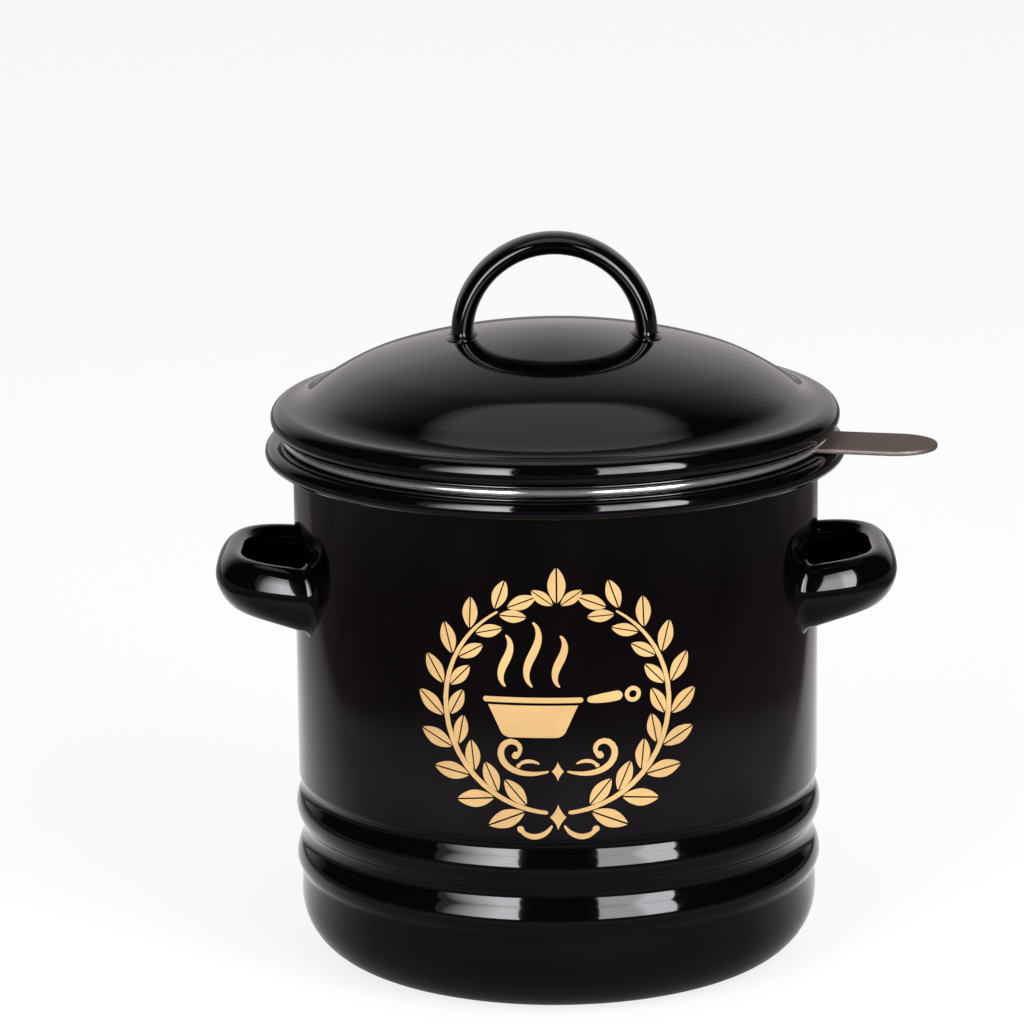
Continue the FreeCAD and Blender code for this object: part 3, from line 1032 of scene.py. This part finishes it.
class FATPOT_OT_strainer_mesh(bpy.types.Operator):
    """Weave the wire mesh over the drain hole"""

    bl_idname = "fatpot.strainer_mesh"
    bl_label = "Strainer mesh"

    def execute(self, context):
        size = context.scene.fatpot_strainer
        level = 0.5 * (MESH_LOW.z + MESH_HIGH.z)
        reach = MESH_HIGH.x - MESH_TRIM
        count = math.floor(reach / size.pitch)
        bm = bmesh.new()
        wire = self.wire(bm, size, count)
        for row in range(1 - count, count):
            warp = verts_of(bmesh.ops.duplicate(bm, geom=wire))
            if row % 2:
                turn_verts(bm, warp, math.pi, "X")
            bmesh.ops.translate(bm, verts=warp, vec=(0.0, row * size.pitch, 0.0))
        bmesh.ops.delete(bm, geom=wire, context="VERTS")
        weft = verts_of(bmesh.ops.duplicate(bm, geom=everything(bm)))
        turn_verts(bm, weft, math.pi, Vector((1, 1, 0)))
        beyond = [vert for vert in bm.verts if vert.co.xy.length > reach]
        bmesh.ops.delete(bm, geom=beyond, context="VERTS")
        bmesh.ops.holes_fill(bm, edges=[edge for edge in bm.edges if edge.is_boundary], sides=4)
        bmesh.ops.recalc_face_normals(bm, faces=bm.faces)
        bmesh.ops.translate(bm, verts=bm.verts, vec=(0, 0, level))
        steel = wire_material(context.scene.fatpot_finish)
        add_piece("strainer_weave", bm, [steel], "strainer", "mesh_wire", "strainer_mesh")
        return {"FINISHED"}

    def wire(self, bm, size, count):
        """One wire along X that goes over and under the wires it crosses."""
        swing = 0.5 * (MESH_HIGH.z - MESH_LOW.z - size.wire)
        made = bmesh.ops.create_circle(bm, cap_ends=True, segments=4, radius=0.5 * size.wire)["verts"]
        turn_verts(bm, made, math.radians(90), "Y")
        height = swing if count % 2 else -swing
        bmesh.ops.translate(bm, verts=made, vec=(-count * size.pitch, 0.0, height))
        face = made[0].link_faces[0]
        for _ in range(2 * count):
            grown = bmesh.ops.extrude_face_region(bm, geom=[face])["geom"]
            face = next(item for item in grown if isinstance(item, bmesh.types.BMFace))
            bmesh.ops.translate(bm, verts=face.verts, vec=(size.pitch, 0.0, -2.0 * height))
            height = -height
        return everything(bm)


class FATPOT_OT_strainer_strap(bpy.types.Operator):
    """Cut the strainer's strap handle and round its end and edges"""

    bl_idname = "fatpot.strainer_strap"
    bl_label = "Strainer strap"

    def execute(self, context):
        size = context.scene.fatpot_strainer
        half = 0.5 * size.strap_width
        thickness = STRAP_HIGH.z - STRAP_LOW.z
        seat = BOWL_HIGH.x - size.roll
        tip = (STRAP_HIGH.x - half) / math.cos(size.strap_turn) + half
        bm = bmesh.new()
        made = bmesh.ops.create_cube(bm, size=1.0)["verts"]
        bmesh.ops.scale(bm, verts=made, vec=(tip - seat + STRAP_LAP, size.strap_width, thickness))
        middle = (0.5 * (tip + seat - STRAP_LAP), 0.0, 0.5 * (STRAP_LOW.z + STRAP_HIGH.z))
        bmesh.ops.translate(bm, verts=made, vec=middle)
        corners = [
            edge for edge in bm.edges
            if all(vert.co.x > tip - MERGE for vert in edge.verts)
            and abs(edge.verts[0].co.z - edge.verts[1].co.z) > 0.5 * thickness
        ]
        round_off(bm, corners, half, 14)
        close(bm)
        rims = [edge for edge in bm.edges if edge.calc_face_angle(0.0) > math.radians(60)]
        round_off(bm, rims, 0.3 * thickness, 3)
        for vert in bm.verts:
            if vert.co.x < seat:
                vert.co.x = math.sqrt(max(seat ** 2 - vert.co.y ** 2, 0.0))
        close(bm)
        turn_verts(bm, bm.verts, size.strap_turn, "Z")
        strap = strap_material(context.scene.fatpot_finish)
        add_piece("strainer_strap", bm, [strap], "strainer", "strap_steel", "strainer_handle")
        return {"FINISHED"}


# --- the stage ---------------------------------------------------------------------------
CAMERA_DISTANCE = 1.2835     # from the pot's axis, level
CAMERA_HEIGHT = 0.41997
CAMERA_DIP = math.radians(13.607)
CAMERA_SIDE = math.radians(0.477)    # looks this far to the left of the axis
CAMERA_ROLL = math.radians(-0.586)
CAMERA_LENS = 190.31


FLOOR_RADIUS = 6.0

# Painted reflection of the table in front, as the gloss sees it: distance from the axis, and the painted
# light and shade there.
TABLE_REACH = 0.64
TABLE_TONES = (
    (0.07, (0.105, 0.092, 0.110)),
    (0.145, (0.170, 0.150, 0.175)),
    (0.20, (0.310, 0.275, 0.320)),
    (0.235, (0.255, 0.225, 0.260)),
    (0.262, (0.105, 0.078, 0.083)),
    (0.36, (0.080, 0.058, 0.060)),
    (0.50, (0.125, 0.110, 0.118)),
    (0.64, (0.115, 0.102, 0.110)),
)
SHEET_TONE = (0.97, 0.93, 0.96)      # the white sheet behind the pot, at its brightest
SHEET_LEFT = (0.39, -0.245, -0.215)  # its left edge: the slant, and where it starts and is full
SHEET_RIGHT = (-0.16, 0.196, 0.172)
SHEET_FRONT = (-0.09, 0.03)
CARD_TONE = (1.0, 0.985, 1.03, 1.0)  # the light of every softbox
CARD_DISTANCE = 1.1                  # from the pot's axis to the standing softboxes
CARD_HEIGHTS = (0.09, 1.65)          # their lower and upper edge
CARD_LEAN_OUTER = 0.22               # how far their top corners stand outwards
CARD_LEAN_INNER = 0.10
DARK_TONE = (0.010, 0.008, 0.010)    # the unlit studio
WALL_TONE = (0.66, 0.62, 0.65)       # the wall behind the pot
WALL_LEFT = (math.radians(-56), math.radians(-30))  # directions where it starts and is full
WALL_RIGHT = (math.radians(46), math.radians(26))


def table_light(tree, place):
    """A painted reflection of the table for the gloss: a white sheet behind the pot, painted lighter and
    darker by its direction and distance, and dim painted tones in front of it.
    """
    x, y, _ = split_place(tree, place)
    left, right = (
        spread(tree, maths(tree, "MULTIPLY_ADD", y, slant, x), 0.0, 1.0, start, full)
        for slant, start, full in (SHEET_LEFT, SHEET_RIGHT)
    )
    behind = spread(tree, y, 0.0, 1.0, *SHEET_FRONT)
    sheet = maths(tree, "MULTIPLY", maths(tree, "MULTIPLY", left, right), behind)
    far = length_of(tree, place)
    # painted light and shade over the sheet: brightest straight behind the pot, dimmer to the sides and
    # further away
    turn = maths(tree, "ABSOLUTE", maths(tree, "ARCTAN2", x, y))
    near = maths(tree, "MULTIPLY_ADD", far, -3.2, 2.1)
    lit = spread(tree, maths(tree, "MULTIPLY_ADD", turn, -0.745, near), 0.25, 0.95, 0.25, 0.95)
    ramp = add_node(tree, "ValToRGB", {"Fac": maths(tree, "DIVIDE", far, TABLE_REACH)})
    elements = ramp.color_ramp.elements
    while len(elements) < len(TABLE_TONES):
        elements.new(0.5)
    for element, (distance, colour) in zip(elements, TABLE_TONES):
        element.position = distance / TABLE_REACH
        element.color = (*colour, 1.0)
    patchy = scaled(tree, ramp.outputs["Color"], spread(tree, noise(tree, place, 5.0, 2.0), 0.7, 1.3))
    return blend_colours(tree, sheet, patchy, scaled(tree, SHEET_TONE, lit))


def room_light(tree, direction):
    """The room as the gloss mirrors it: a white wall behind the pot, and dark elsewhere."""
    x, y, z = split_place(tree, direction)
    turn = maths(tree, "ARCTAN2", x, y)
    left = spread(tree, turn, 0.0, 1.0, *WALL_LEFT)
    right = spread(tree, turn, 0.0, 1.0, *WALL_RIGHT)
    low = spread(tree, z, 1.0, 0.12, 0.35, 0.80)
    wall = maths(tree, "MULTIPLY", maths(tree, "MULTIPLY", left, right), low)
    return blend_colours(tree, wall, DARK_TONE, WALL_TONE)


def glow(bm, name, strength):
    """Makes the sheet a light that the camera doesn't see.

    strength gives the socket of its strength from the node tree.
    """
    mesh = bpy.data.meshes.new(name)
    bm.to_mesh(mesh)
    bm.free()
    material = bpy.data.materials.new(name)
    material.use_nodes = True
    tree = material.node_tree
    tree.nodes.clear()
    light = add_node(tree, "Emission", {"Color": CARD_TONE, "Strength": strength(tree)})
    add_node(tree, "OutputMaterial", {"Surface": light.outputs["Emission"]})
    mesh.materials.append(material)
    made = bpy.data.objects.new(name, mesh)
    bpy.context.scene.collection.objects.link(made)
    made.visible_camera = False
    made.visible_shadow = False
    return made


def standing_card(name, outer, inner, strengths, span):
    """A tall softbox from one direction to another, dimmer at its top, that leans away to its outer side.

    strengths are those of its outer and inner part, and span is the share of its width, from -0.5
    to 0.5, over which one goes into the other.
    """
    middle = 0.5 * (outer + inner)
    width = 2.0 * CARD_DISTANCE * math.tan(0.5 * (inner - outer))
    low, high = CARD_HEIGHTS
    bm = bmesh.new()
    bmesh.ops.create_grid(bm, x_segments=1, y_segments=1, size=0.5)
    bmesh.ops.scale(bm, verts=bm.verts, vec=(width, high - low, 1.0))
    turn_verts(bm, bm.verts, math.radians(90), "X")
    for vert in bm.verts:
        if vert.co.z > 0.0:
            shift = CARD_LEAN_OUTER if vert.co.x * width < 0.0 else CARD_LEAN_INNER
            vert.co.x -= math.copysign(shift, width)
    bmesh.ops.translate(bm, verts=bm.verts, vec=(0.0, -CARD_DISTANCE, 0.5 * (low + high)))
    turn_verts(bm, bm.verts, middle, "Z")
    bmesh.ops.recalc_face_normals(bm, faces=bm.faces)

    def fade(tree):
        place = object_place(tree)
        _, _, z = split_place(tree, place)
        level = (math.cos(middle) / width, math.sin(middle) / width, 0.0)
        along = add_node(tree, "VectorMath", {0: place, 1: level}, operation="DOT_PRODUCT")
        across = spread(tree, along.outputs["Value"], *strengths, *span)
        dimmed = spread(tree, z, 1.0, 0.5, 0.45 * high, 0.8 * high)
        return maths(tree, "MULTIPLY", across, dimmed)

    return glow(bm, name, fade)


def ceiling_card(name, place, width, depth, strength):
    """A dim oval softbox overhead, that fades towards its edge."""
    bm = bmesh.new()
    bmesh.ops.create_circle(bm, cap_ends=True, segments=64, radius=0.5)
    bmesh.ops.scale(bm, verts=bm.verts, vec=(width, depth, 1.0))
    bmesh.ops.translate(bm, verts=bm.verts, vec=place)

    def fade(tree):
        inputs = {"Vector": object_place(tree), "Location": place, "Scale": (width, depth, 1.0)}
        centred = add_node(tree, "Mapping", inputs, vector_type="TEXTURE")
        return spread(tree, length_of(tree, centred.outputs["Vector"]), strength, 0.0, 0.34, 0.5)

    return glow(bm, name, fade)


class FATPOT_OT_stage(bpy.types.Operator):
    """Set the pale floor, the soft lights and the camera"""

    bl_idname = "fatpot.stage"
    bl_label = "Stage"

    def execute(self, context):
        self.floor()
        self.world(context.scene)
        self.lights()
        self.camera(context.scene)
        context.scene.view_settings.view_transform = "Standard"
        context.scene.view_settings.look = "None"
        return {"FINISHED"}

    def floor(self):
        bm = bmesh.new()
        bmesh.ops.create_circle(bm, cap_ends=True, segments=96, radius=FLOOR_RADIUS)
        mesh = bpy.data.meshes.new("floor")
        bm.to_mesh(mesh)
        bm.free()
        material, tree, shader = new_material("pale_floor")
        fill(tree, shader, {
            "Base Color": (0.15, 0.15, 0.15, 1.0),
            "Roughness": 0.9,
            "Specular IOR Level": 0.2,
            "Emission Color": (1.0, 1.0, 1.0, 1.0),
            "Emission Strength": 0.80,
        })
        # To glossy rays the floor glows with a painted reflection of the table, its light and shade painted
        # in; every other ray sees the plain pale floor.
        mirrored = add_node(tree, "Emission", {"Color": table_light(tree, object_place(tree))})
        mirrors = tree.nodes.new("ShaderNodeLightPath").outputs["Is Glossy Ray"]
        pick = {"Fac": mirrors, 1: shader.outputs["BSDF"], 2: mirrored.outputs["Emission"]}
        shown = add_node(tree, "MixShader", pick)
        fill(tree, tree.nodes["Material Output"], {"Surface": shown.outputs["Shader"]})
        mesh.materials.append(material)
        floor = bpy.data.objects.new("floor", mesh)
        bpy.context.scene.collection.objects.link(floor)

    def world(self, scene):
        world = bpy.data.worlds.new("studio")
        world.use_nodes = True
        tree = world.node_tree
        tree.nodes.clear()
        path = tree.nodes.new("ShaderNodeLightPath")
        direction = tree.nodes.new("ShaderNodeTexCoord").outputs["Generated"]
        lights, mirrored, seen = (
            add_node(tree, "Background", {"Color": light}).outputs["Background"]
            for light in ((0.72, 0.72, 0.72, 1.0), room_light(tree, direction), (0.98, 0.98, 0.98, 1.0))
        )
        unseen = add_node(tree, "MixShader", {"Fac": path.outputs["Is Glossy Ray"], 1: lights, 2: mirrored})
        pick = {"Fac": path.outputs["Is Camera Ray"], 1: unseen.outputs["Shader"], 2: seen}
        shown = add_node(tree, "MixShader", pick)
        add_node(tree, "OutputWorld", {"Surface": shown.outputs["Shader"]})
        scene.world = world

    def lights(self):
        standing_card("softbox_left", math.radians(-52), math.radians(-16.5), (0.4, 11.5), (-0.45, 0.22))
        standing_card("softbox_right", math.radians(50), math.radians(16), (11.0, 7.0), (-0.16, -0.02))
        ceiling_card("softbox_top", (0.0, 0.26, 1.25), 1.33, 0.85, 0.75)

    def camera(self, scene):
        data = bpy.data.cameras.new("camera")
        data.lens = CAMERA_LENS
        data.sensor_width = 36.0
        camera = bpy.data.objects.new("camera", data)
        scene.collection.objects.link(camera)
        look = (
            Matrix.Rotation(CAMERA_SIDE, 4, "Z")
            @ Matrix.Rotation(math.radians(90) - CAMERA_DIP, 4, "X")
            @ Matrix.Rotation(CAMERA_ROLL, 4, "Z")
        )
        camera.matrix_world = Matrix.Translation((0.0, -CAMERA_DISTANCE, CAMERA_HEIGHT)) @ look
        data.clip_start = 0.05
        data.clip_end = 50.0
        scene.camera = camera


class FATPOT_PT_panel(bpy.types.Panel):
    """Lists the steps that build the pot"""

    bl_idname = "FATPOT_PT_panel"
    bl_label = "Fat Pot"
    bl_space_type = "VIEW_3D"
    bl_region_type = "UI"
    bl_category = "Fat Pot"

    def draw(self, context):
        for step in STEPS:
            self.layout.operator(step.bl_idname)


GROUPS = (
    ("fatpot_pot", PotSizes),
    ("fatpot_handles", HandleSizes),
    ("fatpot_lid", LidSizes),
    ("fatpot_strainer", StrainerSizes),
    ("fatpot_print", PrintSizes),
    ("fatpot_finish", PotFinish),
)
STEPS = (
    FATPOT_OT_pot_shell,
    FATPOT_OT_side_loops,
    FATPOT_OT_gold_print,
    FATPOT_OT_lid_shell,
    FATPOT_OT_lid_arch,
    FATPOT_OT_strainer_bowl,
    FATPOT_OT_strainer_mesh,
    FATPOT_OT_strainer_strap,
    FATPOT_OT_stage,
)


def register():
    for name, group in GROUPS:
        bpy.utils.register_class(group)
        setattr(bpy.types.Scene, name, PointerProperty(type=group))
    for step in STEPS:
        bpy.utils.register_class(step)
    bpy.utils.register_class(FATPOT_PT_panel)


def unregister():
    bpy.utils.unregister_class(FATPOT_PT_panel)
    for step in reversed(STEPS):
        bpy.utils.unregister_class(step)
    for name, group in reversed(GROUPS):
        delattr(bpy.types.Scene, name)
        bpy.utils.unregister_class(group)


def main():
    """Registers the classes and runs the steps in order."""
    register()
    for step in STEPS:
        family, name = step.bl_idname.split(".")
        getattr(getattr(bpy.ops, family), name)()


if __name__ == "__main__":
    main()
